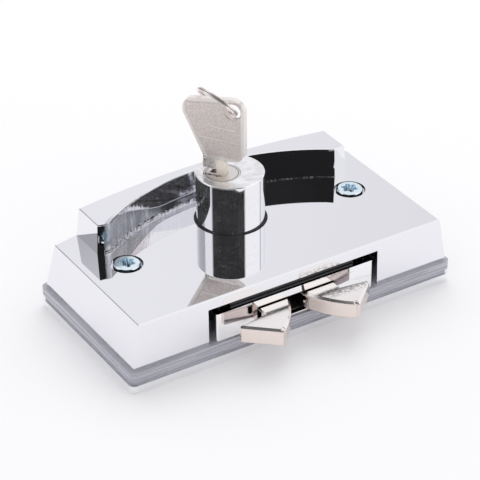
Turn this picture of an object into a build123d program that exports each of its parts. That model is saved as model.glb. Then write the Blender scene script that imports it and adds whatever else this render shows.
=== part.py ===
from build123d import *
import math
import os

os.makedirs("parts", exist_ok=True)

# A clamp-on lock for a sliding glass door, with two hooked claws, a press cylinder and a key.
# The part stands on its back plate: +Z is out of the door, -Y is the way the claws reach,
# +X runs along the claw side. The origin is under the middle of the casing. Sizes in mm.

# Stack of plates that grips the door, upward from the underside
BACK_PLATE_T = 2.4
REAR_GASKET_T = 1.5
FRONT_GASKET_T = 2.6
STACK_PROUD = 1.1
REAR_GASKET_INSET = 0.5
STACK_CORNER_R = 1.6

# Casing: a drafted zinc shell, open below, with a bowed rear edge
CASE_L = 100.0
CASE_FRONT = 24.05
CASE_REAR = 24.05
REAR_BOW = 5.2
CASE_H = 13.7
WALL = 2.2
DRAFT_SIDE = 2.27
DRAFT_FRONT = 0.25
DRAFT_REAR = 2.24
CASE_EDGE_R = 0.5

# Finger pull: a raised ridge along the rear edge, scooped in front
PULL_H = 9.0
PULL_HALF = 40.4
PULL_FRONT = 10.9
PULL_DRAFT = 0.55
PULL_REAR_DRAFT = 1.5
SCOOP_HALF = 36.4
SCOOP_DEPTH = 10.9
PULL_EDGE_R = 0.5
PULL_NOSE_BACK = 0.5
PULL_NOSE_BULGE = 0.15
SCOOP_DRAFT = 1.0

# Notch for the claw case in the front wall
NOTCH_HALF = 26.9
NOTCH_H = 10.7

# Fixing screws through the stack
SCREW_X = 36.0
SCREW_Y = 3.0
SCREW_R = 2.0
SCREW_HEAD_R = 3.7
SCREW_HEAD_H = 3.4
SCREW_HEAD_PROUD = 0.5
SOCKET_R = 1.75
SOCKET_LOBE_R = 0.62
SOCKET_DEPTH = 1.9
SCREW_COUNTERBORE_R = 4.5
SCREW_BOSS_R = 6.4
SCREW_HOLE_CLEAR = 0.25
PLATE_BOSS_R = 4.0
PLATE_BOSS_CLEAR = 0.3
SCREW_TIP_Z = 0.6

# Face plate and claw case
FACE_HALF = 24.9
FACE_Y = -24.6
FACE_T = 1.5
FACE_BOTTOM = 0.15
FACE_H = 8.75
FACE_RETURN = 9.0
FACE_FOOT = 8.0
FACE_FOOT_T = 1.0
SLOT_HALF = 12.3
SLOT_CLEAR = 0.4
BASE_T = 0.8
BASE_GAP = 0.1
BASE_HALF = 22.9
BASE_REAR = 23.0
COVER_T = 1.0
COVER_HALF = 19.5
COVER_REAR = -4.6

# Small screws that hold the claw case up against the casing's bosses
CASE_SCREW_X = 19.4
CASE_SCREW_Y = (-15.0, 18.5)
CASE_SCREW_R = 1.25
CASE_SCREW_IN = 5.0
CASE_SCREW_HEAD_R = 2.5
CASE_SCREW_HEAD_H = 1.6
CASE_BOSS_R = 3.1
HEAD_ROOM = 0.6
TAIL_ROOM_R = 2.6

# Posts that hold the claw case's cover
POST_X = 16.2
POST_Y = -8.0
POST_R = 2.4
POST_NECK_R = 1.4

# Claws: hooked plates on upright pins
CLAW_T = 5.3
CLAW_GAP = 0.3
CLAW_PIVOT_X = 7.2
CLAW_PIVOT_Y = -15.0
CLAW_BOSS_R = 4.3
CLAW_SWING = 13.0
CLAW_TAIL = 11.0
CLAW_TAIL_R = 2.2
CLAW_TAIL_LIFT = 1.9
CLAW_STEP_Y = -19.8
CLAW_ROOT_IN = 2.3
CLAW_ROOT_OUT = 11.5
CLAW_REACH = 12.5
CLAW_NOSE_X = 12.0
CLAW_BELLY_X = 5.7
CLAW_BELLY = 6.2
BARB_X = 20.4
BARB_BACK = 4.3
BARB_NOSE = 5.0
THROAT_BACK = 3.0
CLAW_EDGE = 0.6
PIN_R = 2.0
PIN_FIT = 0.05
PIN_SEAT = 0.02
PIN_HEAD_R = 3.0
PIN_HEAD_T = 0.6
BUSH_WALL = 0.5
TAIL_PIN_R = 1.2
TAIL_PEG_H = 1.7

# Claw springs: torsion springs on the pivot pins
CLAW_SPRING_R = 3.3
CLAW_SPRING_WIRE = 0.6
CLAW_SPRING_TURNS = 2
CLAW_SPRING_H = 1.9
CLAW_SPRING_LEG = 7.0
CLAW_SPRING_OVER = 1.5

# Barrel: the press cylinder, and the plug that turns in it
BARREL_Y = 8.45
BARREL_R = 9.5
BARREL_TRAVEL = 4.5
BARREL_FIT = 0.06
BARREL_EDGE = 0.35
RING_GAP = 0.73
PLUG_X = -2.4
PLUG_Y = 8.8
PLUG_R = 5.1
PLUG_FIT = 0.05
PLUG_FLOOR = 1.05
STUB_R = 3.5
STUB_OUT = 0.8
CLIP_R = 5.0
CLIP_T = 0.6
CLIP_GROOVE = 0.5
BUSH_FLANGE_R = 12.3
BUSH_FLANGE_T = 1.3
BUSH_SINK = 0.6
YOKE_T = 1.0
YOKE_R = 11.4
YOKE_GROOVE = 0.6
YOKE_GAP = 0.2
YOKE_SPAN = 33.6
YOKE_EAR_W = 6.0
SPRING_X = 14.0
SPRING_R = 2.0
SPRING_WIRE = 0.5
SPRING_TURNS = 5
SPRING_END = 0.05
SPIGOT_H = 1.5
TONGUE_W = 3.2
TONGUE_H = 2.0
TONGUE_BACK = 4.2
TONGUE_FIT = 0.08
TONGUE_UP = 2.4

# Drive train under the barrel
TAILPIECE_W = 3.0
TAILPIECE_T = 1.0
TAILPIECE_FIT = 0.06
TAILPIECE_SEAT = 1.8
CAM_R = 6.2
CAM_T = 0.9
HUB_R = 4.0
HUB_FIT = 0.06
CRANK_R = 4.0
CRANK_PIN_R = 0.9
CRANK_START = -45.0
PLUG_TURN = 90.0
SLIDE_T = 0.8
SLIDE_GAP = 0.1
SLIDE_FIT = 0.2
SLIDE_EDGE = 1.0
SLIDE_HEAD_HALF = 11.2
SLIDE_STEM_HALF = 6.5
SLIDE_NECK_Y = 0.0
STUD_R = 1.2
STUD_HEAD_R = 2.4
STUD_HEAD_T = 0.6
STUD_PLACES = ((0.0, -1.5), (3.2, 17.0))

# Key: bow, shoulder and cut blade, in its own plane
KEY_ANGLE = -57.0
KEY_T = 2.0
BLADE_T = 1.8
BLADE_RIGHT = 1.5
BLADE_LEFT = -3.2
BLADE_NECK = -1.3
BLADE_DEPTH = 17.8
BLADE_TIP_ROOM = 0.9
BLADE_CUTS = (1.5, 0.9, 1.7, 0.6, 1.2)
CUT_FIRST = 3.4
CUT_LAST = 3.6
CUT_PITCH = (BLADE_DEPTH - CUT_FIRST - CUT_LAST) / (len(BLADE_CUTS) - 1)
CUT_FLAT = CUT_PITCH * 4 / 9
CUT_FLANK = CUT_PITCH / 6
CUT_EASE = 0.1
KEYWAY_FIT = 0.1
SHOULDER_LEFT = -5.4
SHOULDER_UP = 1.3
BOW_BOTTOM = 4.3
BOW_LEFT = -11.3
BOW_RIGHT = 7.2
BOW_TOP_LEFT = 21.4
BOW_TOP_RIGHT = 24.2
BOW_SHOULDER_UP = 17.2
BOW_WAIST_UP = 5.2
BOW_ROUND = 3.6
KEY_HOLE_U = 3.75
KEY_HOLE_V = 20.0
KEY_HOLE_R = 2.3
KEY_EDGE = 0.3
WAFER_T = 0.8
WAFER_W = 4.4
WAFER_FIT = 0.08

# Key ring: a flat split ring of two turns, hung in the key's hole
RING_R = 6.18
RING_RADIAL = 0.6
RING_AXIAL = 1.2
RING_GROOVE = 0.15
RING_FROM_HOLE = (-5.067, 1.498, 0.342)
RING_TURN = 8.95
RING_TILT = 48.73

# Heights that the pieces share
Z_PLATE = BACK_PLATE_T
Z_REAR_GASKET = Z_PLATE + REAR_GASKET_T
Z_CASE = Z_REAR_GASKET + FRONT_GASKET_T
Z_TOP = Z_CASE + CASE_H
Z_CEILING = Z_TOP - WALL
Z_BASE = Z_CASE + BASE_GAP
Z_FLOOR = Z_BASE + BASE_T
Z_CLAW = Z_FLOOR + CLAW_GAP
Z_CLAW_TOP = Z_CLAW + CLAW_T
Z_TAIL = Z_CLAW + CLAW_TAIL_LIFT
Z_COVER = Z_CLAW_TOP + 2.2
Z_FACE = Z_CASE + FACE_BOTTOM
Z_BARREL = Z_COVER
Z_YOKE = Z_BARREL + 0.2
Z_BUSH = Z_YOKE + YOKE_T + YOKE_GAP
Z_PLUG = Z_BARREL + PLUG_FLOOR
Z_STUB = Z_BARREL - STUB_OUT
Z_BARREL_TOP = Z_STUB + TAILPIECE_SEAT + BLADE_TIP_ROOM + BLADE_DEPTH
Z_CAM = Z_FLOOR + SLIDE_GAP
Z_SLIDE = Z_CAM + CAM_T + SLIDE_GAP
Z_SLIDE_TOP = Z_SLIDE + SLIDE_T
SLIDE_TRAVEL = 2.0 * CRANK_R * math.sin(math.radians(-CRANK_START))


def upright(r, z0, z1, x=0.0, y=0.0):
    """A round pin standing from z0 to z1."""
    return Pos(x, y, z0) * Cylinder(r, z1 - z0, align=(Align.CENTER, Align.CENTER, Align.MIN))


def block(x0, x1, y0, y1, z0, z1):
    """A box between two opposite corners."""
    return Pos(x0, y0, z0) * Box(x1 - x0, y1 - y0, z1 - z0, align=(Align.MIN, Align.MIN, Align.MIN))


def slab(edges, z0, z1):
    """A flat plate of the given outline from z0 to z1."""
    face = make_face(Wire(edges))
    return extrude(Pos(0, 0, z0) * face, z1 - z0, dir=(0, 0, 1))


def bowed_outline(half, front, rear, bow):
    """A rectangle seen from above whose rear edge is an arc standing out by bow."""
    a, b = (-half, -front), (half, -front)
    c, d = (half, rear), (-half, rear)
    return [Line(a, b), Line(b, c), ThreePointArc(c, (0, rear + bow), d), Line(d, a)]


def bowed_block(z0, z1, grow, lean=0.0):
    """The casing's solid form between two heights, its sides moved out by grow, less its draft."""
    def outline(z):
        up = (z - Z_CASE) / CASE_H
        half = CASE_L / 2 + grow - DRAFT_SIDE * up
        front = CASE_FRONT + grow - DRAFT_FRONT * up
        rear = CASE_REAR + grow - DRAFT_REAR * up
        return Pos(0, 0, z) * make_face(Wire(bowed_outline(half, front, rear, REAR_BOW)))
    return loft([outline(z0), outline(z1)], ruled=True)


def stack_plate(z0, z1, grow):
    """One flat plate of the stack, the casing's outline grown a little and rounded at its corners."""
    edges = bowed_outline(CASE_L / 2 + grow, CASE_FRONT + grow, CASE_REAR + grow, REAR_BOW)
    plate = slab(edges, z0, z1)
    return fillet(plate.edges().filter_by(Axis.Z), STACK_CORNER_R)


def rear_edge(z, half):
    """Where the casing's bowed rear face stands at this height and half width, and its bow there."""
    up = (z - Z_CASE) / CASE_H
    end = CASE_L / 2 - DRAFT_SIDE * up
    radius = (end ** 2 + REAR_BOW ** 2) / (2 * REAR_BOW)
    middle = CASE_REAR - DRAFT_REAR * up + REAR_BOW
    bow = radius - math.sqrt(radius ** 2 - half ** 2)
    return middle - bow, bow


def nose_outline(half, front, rear, bow):
    """The finger pull seen from above before it is hollowed: each end of its front is a shallow arc."""
    corner = (half, front + PULL_NOSE_BACK)
    inner = (SCOOP_HALF, front)
    mid = ((half + SCOOP_HALF) / 2, front + PULL_NOSE_BACK / 2 - PULL_NOSE_BULGE)

    def left(p):
        return (-p[0], p[1])
    return [
        ThreePointArc(left(corner), left(mid), left(inner)),
        Line(left(inner), inner),
        ThreePointArc(inner, mid, corner),
        Line(corner, (half, rear)),
        ThreePointArc((half, rear), (0, rear + bow), (-half, rear)),
        Line((-half, rear), left(corner)),
    ]


def scoop_outline(front, depth):
    """The hollow of the finger pull seen from above: an arc behind and a box's width in front of it."""
    over = PULL_FRONT
    left, right = (-SCOOP_HALF, front), (SCOOP_HALF, front)
    near_left, near_right = (-SCOOP_HALF, front - over), (SCOOP_HALF, front - over)
    return [
        ThreePointArc(left, (0, front + depth), right),
        Line(right, near_right),
        Line(near_right, near_left),
        Line(near_left, left),
    ]


def finger_pull():
    """The ridge behind the barrel, drafted on its outside and hollowed in front by a drafted scoop."""
    overlap = 1.0
    z0 = Z_TOP - overlap
    rear0, bow0 = rear_edge(Z_TOP, PULL_HALF)
    half1 = PULL_HALF - PULL_DRAFT
    rear1, bow1 = rear_edge(Z_TOP, half1)
    low = Pos(0, 0, z0) * make_face(Wire(nose_outline(PULL_HALF, PULL_FRONT, rear0 - 0.05, bow0)))
    high = make_face(Wire(nose_outline(half1, PULL_FRONT + 0.15, rear1 - PULL_REAR_DRAFT, bow1)))
    ridge = loft([low, Pos(0, 0, Z_TOP + PULL_H) * high], ruled=True)
    lean = SCOOP_DRAFT / PULL_H
    foot = make_face(Wire(scoop_outline(PULL_FRONT, SCOOP_DEPTH)))
    rim = make_face(Wire(scoop_outline(PULL_FRONT, SCOOP_DEPTH + lean * (PULL_H + overlap))))
    scoop = loft([Pos(0, 0, Z_TOP) * foot, Pos(0, 0, Z_TOP + PULL_H + overlap) * rim], ruled=True)
    ridge -= scoop
    ridge -= slab(scoop_outline(PULL_FRONT, SCOOP_DEPTH), z0 - 1, Z_TOP)
    top_edges = ridge.edges().group_by(Axis.Z)[-1]
    return fillet(top_edges, PULL_EDGE_R)


def case_screw_places():
    """Where the four small screws hold the claw case to the casing's bosses."""
    return [(sx * CASE_SCREW_X, y) for sx in (-1, 1) for y in CASE_SCREW_Y]


def housing():
    """The cast casing: shell, finger pull, bosses, barrel hole and the notch for the claws."""
    shell = bowed_block(Z_CASE, Z_TOP, 0)
    shell = fillet(shell.edges().group_by(Axis.Z)[-1], CASE_EDGE_R)
    inside = bowed_block(Z_CASE - 1, Z_CEILING, -WALL)
    shell -= inside
    shell += finger_pull()
    for sx in (-1, 1):
        x = sx * SCREW_X
        shell += upright(SCREW_BOSS_R, Z_CASE, Z_CEILING + 0.5, x, SCREW_Y)
    for x, y in case_screw_places():
        foot = Z_FLOOR + (FACE_FOOT_T if y < 0 else 0)
        shell += upright(CASE_BOSS_R, foot, Z_CEILING + 0.5, x, y)
    for sx in (-1, 1):
        x = sx * SCREW_X
        shell -= upright(SCREW_R + SCREW_HOLE_CLEAR, Z_CASE - 1, Z_TOP + 1, x, SCREW_Y)
        seat = Z_TOP + SCREW_HEAD_PROUD - SCREW_HEAD_H
        shell -= upright(SCREW_COUNTERBORE_R, seat, Z_TOP + 1, x, SCREW_Y)
    for x, y in case_screw_places():
        shell -= upright(CASE_SCREW_R + 0.05, Z_CASE - 1, Z_FLOOR + CASE_SCREW_IN + 0.5, x, y)
    shell -= upright(BARREL_R + RING_GAP, Z_CEILING - 1, Z_TOP + 1, 0, BARREL_Y)
    notch_y = -CASE_FRONT - 1
    shell -= block(-NOTCH_HALF, NOTCH_HALF, notch_y, -CASE_FRONT + WALL + 0.6, Z_CASE - 1, Z_CASE + NOTCH_H)
    return shell


def back_plate():
    """The polished outer plate with its two threaded bosses."""
    plate = stack_plate(0, Z_PLATE, STACK_PROUD)
    plate = fillet(plate.edges().group_by(Axis.Z)[0], 0.5)
    for sx in (-1, 1):
        plate += upright(PLATE_BOSS_R, Z_PLATE - 0.5, Z_CASE - 0.2, sx * SCREW_X, SCREW_Y)
        plate -= upright(SCREW_R + PIN_SEAT, SCREW_TIP_Z - 0.1, Z_CASE, sx * SCREW_X, SCREW_Y)
    return plate


def gasket(z0, z1, grow):
    """A clear sheet of the stack with holes for the bosses, the small screw heads and the tailpiece."""
    sheet = stack_plate(z0, z1, grow)
    for sx in (-1, 1):
        sheet -= upright(PLATE_BOSS_R + PLATE_BOSS_CLEAR, z0 - 1, z1 + 1, sx * SCREW_X, SCREW_Y)
    sheet -= upright(TAIL_ROOM_R, z0 - 1, z1 + 1, PLUG_X, PLUG_Y)
    return sheet


def front_gasket():
    """The sheet under the casing, with extra room for the small screw heads."""
    sheet = gasket(Z_REAR_GASKET, Z_CASE, STACK_PROUD)
    for x, y in case_screw_places():
        sheet -= upright(CASE_SCREW_HEAD_R + HEAD_ROOM, Z_REAR_GASKET - 1, Z_CASE + 1, x, y)
    return sheet


def rear_gasket():
    """The sheet on the back plate, set in a little from its edge."""
    return gasket(Z_PLATE, Z_REAR_GASKET, STACK_PROUD - REAR_GASKET_INSET)


def mounting_screws():
    """Two cheese-head screws with a six-lobed socket."""
    seat = Z_TOP + SCREW_HEAD_PROUD - SCREW_HEAD_H
    top = Z_TOP + SCREW_HEAD_PROUD
    screws = []
    for sx in (-1, 1):
        x = sx * SCREW_X
        head = upright(SCREW_HEAD_R, seat, top, x, SCREW_Y)
        head = fillet(head.edges().group_by(Axis.Z)[-1], 0.5)
        screw = head + upright(SCREW_R, SCREW_TIP_Z, seat + 0.1, x, SCREW_Y)
        screw -= upright(SOCKET_R, top - SOCKET_DEPTH, top + 1, x, SCREW_Y)
        for i in range(6):
            a = math.radians(60 * i + 15)
            lobe_x, lobe_y = x + SOCKET_R * math.cos(a), SCREW_Y + SOCKET_R * math.sin(a)
            screw -= upright(SOCKET_LOBE_R, top - SOCKET_DEPTH, top + 1, lobe_x, lobe_y)
        screws.append(screw)
    return screws


def face_plate():
    """The plate round the claws, bent back at both ends, with feet under the casing's bosses."""
    top = Z_FACE + FACE_H
    back = FACE_Y + FACE_T
    plate = block(-FACE_HALF, FACE_HALF, FACE_Y, back, Z_FACE, top)
    for sx in (-1, 1):
        x0, x1 = sorted((sx * FACE_HALF, sx * (FACE_HALF - FACE_T)))
        plate += block(x0, x1, FACE_Y, FACE_Y + FACE_RETURN, Z_FACE, top)
    outer = plate.edges().filter_by(Axis.Z).sort_by(Axis.Y)
    corners = [e for e in outer if abs(e.center().Y - FACE_Y) < 0.01 and abs(e.center().X) > FACE_HALF - 0.1]
    plate = fillet(corners, 0.6)
    for sx in (-1, 1):
        x0, x1 = sorted((sx * (FACE_HALF - 0.5), sx * (CASE_SCREW_X - CASE_BOSS_R)))
        y0 = FACE_Y + FACE_RETURN - FACE_FOOT
        plate += block(x0, x1, y0, -CASE_SCREW_X + FACE_FOOT, Z_FLOOR, Z_FLOOR + FACE_FOOT_T)
        plate -= upright(CASE_SCREW_R + PIN_FIT, Z_FLOOR - 1, Z_FLOOR + 2, sx * CASE_SCREW_X, CASE_SCREW_Y[0])
    slot = block(-SLOT_HALF, SLOT_HALF, FACE_Y - 1, back + 1, Z_CLAW - SLOT_CLEAR, Z_CLAW_TOP + SLOT_CLEAR)
    plate -= fillet(slot.edges().filter_by(Axis.Y), 0.6)
    return plate


def case_base():
    """The claw case's floor, with bearings for the cam, pins and studs and two spring spigots."""
    y0 = FACE_Y + FACE_T + 0.1
    base = block(-BASE_HALF, BASE_HALF, y0, BASE_REAR, Z_BASE, Z_FLOOR)
    base = fillet(base.edges().filter_by(Axis.Z), 1.5)
    for sx in (-1, 1):
        base += upright(SPRING_R - SPRING_WIRE, Z_BASE, Z_FLOOR + SPIGOT_H, sx * SPRING_X, BARREL_Y)
        base -= upright(PIN_R + PIN_SEAT, Z_BASE - 1, Z_FLOOR + 1, sx * CLAW_PIVOT_X, CLAW_PIVOT_Y)
        base -= upright(POST_NECK_R + PIN_SEAT, Z_BASE - 1, Z_FLOOR + 1, sx * POST_X, POST_Y)
    base -= upright(HUB_R + HUB_FIT, Z_BASE - 1, Z_FLOOR + 1, PLUG_X, PLUG_Y)
    for x, y in STUD_PLACES:
        base -= upright(STUD_R + PIN_SEAT, Z_BASE - 1, Z_FLOOR + 1, x, y)
    for x, y in case_screw_places():
        base -= upright(CASE_SCREW_R + PIN_FIT, Z_BASE - 1, Z_FLOOR + 1, x, y)
    return base


def cover_posts():
    """Two shouldered posts between the case's floor and its cover, riveted at both ends."""
    posts = []
    for sx in (-1, 1):
        post = upright(POST_R, Z_FLOOR, Z_COVER, sx * POST_X, POST_Y)
        post += upright(POST_NECK_R, Z_BASE, Z_COVER + COVER_T + 0.5, sx * POST_X, POST_Y)
        posts.append(post)
    return posts


def case_cover():
    """The plate over the claws, carried by the posts and the pivot pins."""
    cover = block(-COVER_HALF, COVER_HALF, FACE_Y + FACE_T + 0.3, COVER_REAR, Z_COVER, Z_COVER + COVER_T)
    for sx in (-1, 1):
        cover -= upright(CASE_BOSS_R + 0.4, Z_COVER - 1, Z_COVER + 2, sx * CASE_SCREW_X, CASE_SCREW_Y[0])
        cover -= upright(PIN_R + PIN_SEAT, Z_COVER - 1, Z_COVER + 2, sx * CLAW_PIVOT_X, CLAW_PIVOT_Y)
        cover -= upright(POST_NECK_R + PIN_SEAT, Z_COVER - 1, Z_COVER + 2, sx * POST_X, POST_Y)
    return cover


def case_screws():
    """Four small pan-head screws, driven up through the case's floor."""
    screws = []
    for x, y in case_screw_places():
        head = upright(CASE_SCREW_HEAD_R, Z_BASE - CASE_SCREW_HEAD_H, Z_BASE, x, y)
        head = fillet(head.edges().group_by(Axis.Z)[0], 0.5)
        screw = head + upright(CASE_SCREW_R, Z_BASE - 0.1, Z_FLOOR + CASE_SCREW_IN, x, y)
        slot = block(x - 2.6, x + 2.6, y - 0.35, y + 0.35, Z_BASE - 3, Z_BASE - CASE_SCREW_HEAD_H + 0.8)
        screws.append(screw - slot)
    return screws


def pivot_pins():
    """The two upright pins that the claws swing on."""
    pins = []
    for sx in (-1, 1):
        x = sx * CLAW_PIVOT_X
        pin = upright(PIN_R, Z_BASE, Z_COVER + COVER_T + 0.1, x, CLAW_PIVOT_Y)
        pin += upright(PIN_HEAD_R, Z_COVER + COVER_T, Z_COVER + COVER_T + PIN_HEAD_T, x, CLAW_PIVOT_Y)
        pins.append(pin)
    return pins


def pivot_bushes():
    """Two spacer bushes under the claws' bosses."""
    bushes = []
    for sx in (-1, 1):
        x = sx * CLAW_PIVOT_X
        bush = upright(PIN_R + BUSH_WALL, Z_FLOOR, Z_TAIL - 0.05, x, CLAW_PIVOT_Y)
        bushes.append(bush - upright(PIN_R + PIN_SEAT, Z_FLOOR - 1, Z_TAIL + 1, x, CLAW_PIVOT_Y))
    return bushes


def tail_place():
    """The right claw's tail pin at rest, half a swing inside the pivot's own line."""
    half = math.radians(CLAW_SWING / 2)
    return (CLAW_PIVOT_X - CLAW_TAIL * math.sin(half), CLAW_PIVOT_Y + CLAW_TAIL * math.cos(half))


def right_claw():
    """One hooked claw: nose, barb and shank in full thickness, boss and tail raised over the slide."""
    tx, ty = tail_place()
    nose_y = FACE_Y - CLAW_REACH
    barb_y = FACE_Y - BARB_NOSE
    throat_y = FACE_Y - THROAT_BACK
    px, py = CLAW_PIVOT_X, CLAW_PIVOT_Y
    nose = (CLAW_NOSE_X, nose_y)
    root_in = (CLAW_ROOT_IN, FACE_Y)
    inner = (px - CLAW_BOSS_R, py - 1.0)
    outer = (px + CLAW_BOSS_R, py - 1.0)
    edges = [
        ThreePointArc(root_in, (CLAW_BELLY_X, FACE_Y - CLAW_BELLY), nose),
        Line(nose, (BARB_X, barb_y)),
        Line((BARB_X, barb_y), (BARB_X - 0.3, barb_y + 0.9)),
        Line((BARB_X - 0.3, barb_y + 0.9), (CLAW_ROOT_OUT + 0.15, throat_y)),
        Line((CLAW_ROOT_OUT + 0.15, throat_y), outer),
        Line(outer, inner),
        Line(inner, root_in),
    ]
    claw = slab(edges, Z_CLAW, Z_CLAW_TOP)
    claw = chamfer_rim(claw)
    claw += upright(CLAW_BOSS_R, Z_TAIL, Z_CLAW_TOP, px, py)
    side = CLAW_TAIL_R
    length = math.hypot(tx - px, ty - py)
    nx, ny = (ty - py) / length * side, -(tx - px) / length * side
    arm = [
        Line((px - nx, py - ny), (px + nx, py + ny)),
        Line((px + nx, py + ny), (tx + nx, ty + ny)),
        ThreePointArc((tx + nx, ty + ny), (tx + (tx - px) / length * side, ty + (ty - py) / length * side),
                      (tx - nx, ty - ny)),
        Line((tx - nx, ty - ny), (px - nx, py - ny)),
    ]
    claw += slab(arm, Z_TAIL, Z_CLAW_TOP)
    claw -= block(0, 2 * BARB_X, CLAW_STEP_Y, CLAW_TAIL, Z_CLAW - CLAW_T, Z_TAIL)
    claw += upright(TAIL_PIN_R, Z_SLIDE, Z_TAIL + 0.2, tx, ty)
    claw += upright(TAIL_PIN_R, Z_CLAW_TOP - 0.2, Z_CLAW_TOP + TAIL_PEG_H, tx, ty)
    claw -= upright(PIN_R + PIN_FIT, Z_CLAW - 1, Z_CLAW_TOP + 1, px, py)
    return claw


def chamfer_rim(claw):
    """Breaks the claw's top and bottom edges where they stand outside the case."""
    rim = []
    for group in (claw.edges().group_by(Axis.Z)[-1], claw.edges().group_by(Axis.Z)[0]):
        rim += [e for e in group if e.center().Y < FACE_Y - 0.5]
    return chamfer(rim, CLAW_EDGE)


def left_claw():
    """The same hook for the other side."""
    return mirror(right_claw(), about=Plane.YZ)


def biarc(p0, t0, p1, t1):
    """Two arcs that join two points with their directions, as edges."""
    p0, t0, p1, t1 = Vector(p0), Vector(t0), Vector(p1), Vector(t1)
    v = p1 - p0
    a = 2 * (1 - t0.dot(t1))
    b = 2 * v.dot(t0 + t1)
    c = -v.dot(v)
    d = (-b + math.sqrt(b * b - 4 * a * c)) / (2 * a) if abs(a) > 1e-9 else -c / b
    joint = (p0 + t0 * d + p1 - t1 * d) * 0.5
    out = []
    for start, tangent, end in ((p0, t0, joint), (p1, t1 * -1, joint)):
        chord = end - start
        unit = chord.normalized()
        side = tangent - unit * tangent.dot(unit)
        angle = math.acos(max(-1.0, min(1.0, tangent.normalized().dot(unit))))
        middle = start + chord * 0.5 + side.normalized() * (chord.length / 2 * math.tan(angle / 2))
        out.append((start, middle, end))
    first, second = out
    return [ThreePointArc(*first), ThreePointArc(second[2], second[1], second[0])]


def coil(x, y, z0, height, radius, wire, turns, start_leg=None, end_leg=None):
    """A round wire wound up a Z axis in true turns, with level straight legs where asked."""
    count = round(turns * 4)
    rise = height - wire
    points = []
    for i in range(count + 1):
        angle = 2 * math.pi * turns * i / count
        level_z = z0 + wire / 2 + rise * i / count
        point = Vector(x + radius * math.cos(angle), y + radius * math.sin(angle), level_z)
        level = (start_leg and i == 0) or (end_leg and i == count)
        slope = 0.0 if level else rise / (2 * math.pi * turns * radius)
        direction = Vector(-math.sin(angle), math.cos(angle), slope)
        points.append((point, direction.normalized()))
    edges = []
    if start_leg:
        edges.append(Line(points[0][0] - points[0][1] * start_leg, points[0][0]))
    for (p0, t0), (p1, t1) in zip(points, points[1:]):
        edges += biarc(p0, t0, p1, t1)
    if end_leg:
        edges.append(Line(points[-1][0], points[-1][0] + points[-1][1] * end_leg))
    path = Wire(edges)
    section = Plane(origin=path @ 0, z_dir=path % 0) * Circle(wire / 2)
    return sweep(section, path)


def right_claw_spring():
    """A torsion spring round the pivot pin whose long leg pushes the claw's tail peg inwards."""
    z0 = Z_CLAW_TOP + 0.1
    tx, ty = tail_place()
    reach_x = tx + TAIL_PIN_R + CLAW_SPRING_WIRE / 2 + 0.02 - CLAW_PIVOT_X
    reach_y = ty - CLAW_PIVOT_Y
    reach = math.hypot(reach_x, reach_y)
    turned = math.atan2(reach_y, reach_x) - math.acos(CLAW_SPRING_R / reach)
    leg = math.sqrt(reach ** 2 - CLAW_SPRING_R ** 2) + CLAW_SPRING_OVER
    turns = CLAW_SPRING_TURNS + turned / (2 * math.pi)
    return coil(CLAW_PIVOT_X, CLAW_PIVOT_Y, z0, CLAW_SPRING_H, CLAW_SPRING_R, CLAW_SPRING_WIRE, turns,
                start_leg=CLAW_SPRING_LEG, end_leg=leg)


def left_claw_spring():
    """The same spring for the other claw."""
    return mirror(right_claw_spring(), about=Plane.YZ)


def slide_studs():
    """Two headed studs that guide the drive slide along Y."""
    studs = []
    for x, y in STUD_PLACES:
        stud = upright(STUD_R, Z_BASE, Z_SLIDE_TOP + SLIDE_GAP + 0.1, x, y)
        z = Z_SLIDE_TOP + SLIDE_GAP
        studs.append(stud + upright(STUD_HEAD_R, z, z + STUD_HEAD_T, x, y))
    return studs


def run(x0, y0, x1, y1, r, z0, z1):
    """A round-ended slot cutter between two centres."""
    length = math.hypot(x1 - x0, y1 - y0)
    angle = math.degrees(math.atan2(y1 - y0, x1 - x0))
    middle = Pos((x0 + x1) / 2, (y0 + y1) / 2, z0) * Rot(0, 0, angle)
    return extrude(middle * SlotCenterToCenter(length, 2 * r), z1 - z0, dir=(0, 0, 1))


def drive_slide():
    """The plate that the cam's crank pin drives along Y, and whose slanted slots swing the claws."""
    tx, ty = tail_place()
    spread = 2 * CLAW_TAIL * math.sin(math.radians(CLAW_SWING / 2))
    pin_r = TAIL_PIN_R + SLIDE_FIT
    front = ty - SLIDE_TRAVEL - pin_r - SLIDE_EDGE
    rear = STUD_PLACES[1][1] + STUD_R + SLIDE_FIT + 1.6
    plate = block(-SLIDE_HEAD_HALF, SLIDE_HEAD_HALF, front, SLIDE_NECK_Y, Z_SLIDE, Z_SLIDE_TOP)
    plate += block(-SLIDE_STEM_HALF, SLIDE_STEM_HALF, SLIDE_NECK_Y - 1, rear, Z_SLIDE, Z_SLIDE_TOP)
    plate = fillet(plate.edges().filter_by(Axis.Z), 1.0)
    low, high = Z_SLIDE - 1, Z_SLIDE_TOP + 1
    for sx in (-1, 1):
        plate -= run(sx * tx, ty, sx * (tx + spread), ty - SLIDE_TRAVEL, pin_r, low, high)
    for x, y in STUD_PLACES:
        plate -= run(x, y, x, y - SLIDE_TRAVEL, STUD_R + SLIDE_FIT / 2, low, high)
    crank_y = PLUG_Y + CRANK_R * math.sin(math.radians(CRANK_START))
    crank_x0 = PLUG_X + CRANK_R * math.cos(math.radians(CRANK_START))
    plate -= run(crank_x0, crank_y, PLUG_X + CRANK_R, crank_y, CRANK_PIN_R + SLIDE_FIT, low, high)
    room = math.hypot(TAILPIECE_W, TAILPIECE_T) / 2 + 0.3
    plate -= run(PLUG_X, PLUG_Y, PLUG_X, PLUG_Y - SLIDE_TRAVEL, room, low, high)
    return plate


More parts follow.
